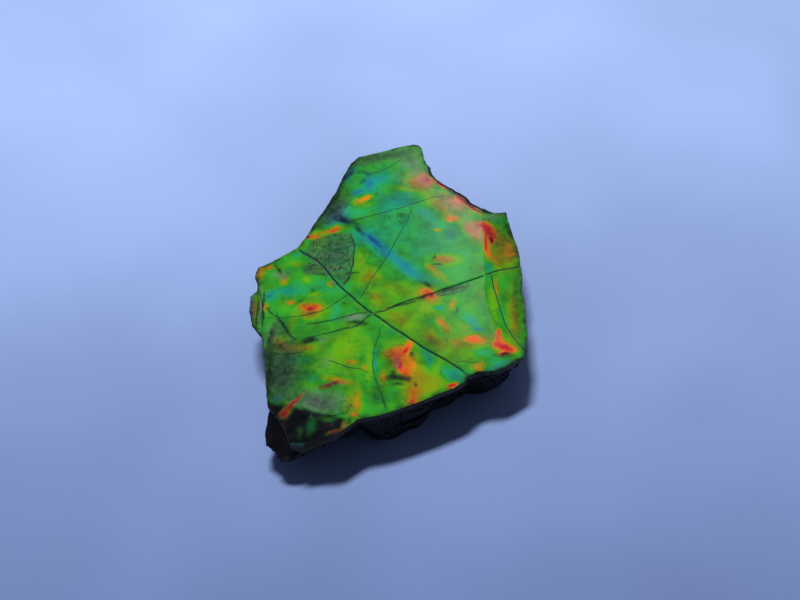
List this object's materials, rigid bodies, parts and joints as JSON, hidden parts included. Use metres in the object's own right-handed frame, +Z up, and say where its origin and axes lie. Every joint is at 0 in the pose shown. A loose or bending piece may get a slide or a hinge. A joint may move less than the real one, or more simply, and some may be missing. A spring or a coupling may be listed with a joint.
{
  "type": "ammolite specimen",
  "caption": "Flat broken flake of iridescent fossil ammonite shell on a dark shale backing, lying on a flat cleavage face.",
  "frame": {"origin": "under the middle of the piece, on the plane of its flat foot", "axes": "+Z up, out of the iridescent face; +Y along the piece's length, towards its narrow end; +X to the right as seen from the worn corner's side"},
  "size_m": [0.0258, 0.0346, 0.0062],
  "materials": {
    "iridescent_nacre": "polished iridescent aragonite: green, blue, yellow and red flashes under a clear gloss, with dark healed fractures",
    "dark_shale": "near-black shale, rough broken walls with thin beds"
  },
  "bodies": {
    "root": {"iridescent_shell": "iridescent_nacre", "shale_matrix": "dark_shale"}
  },
  "joints": []
}
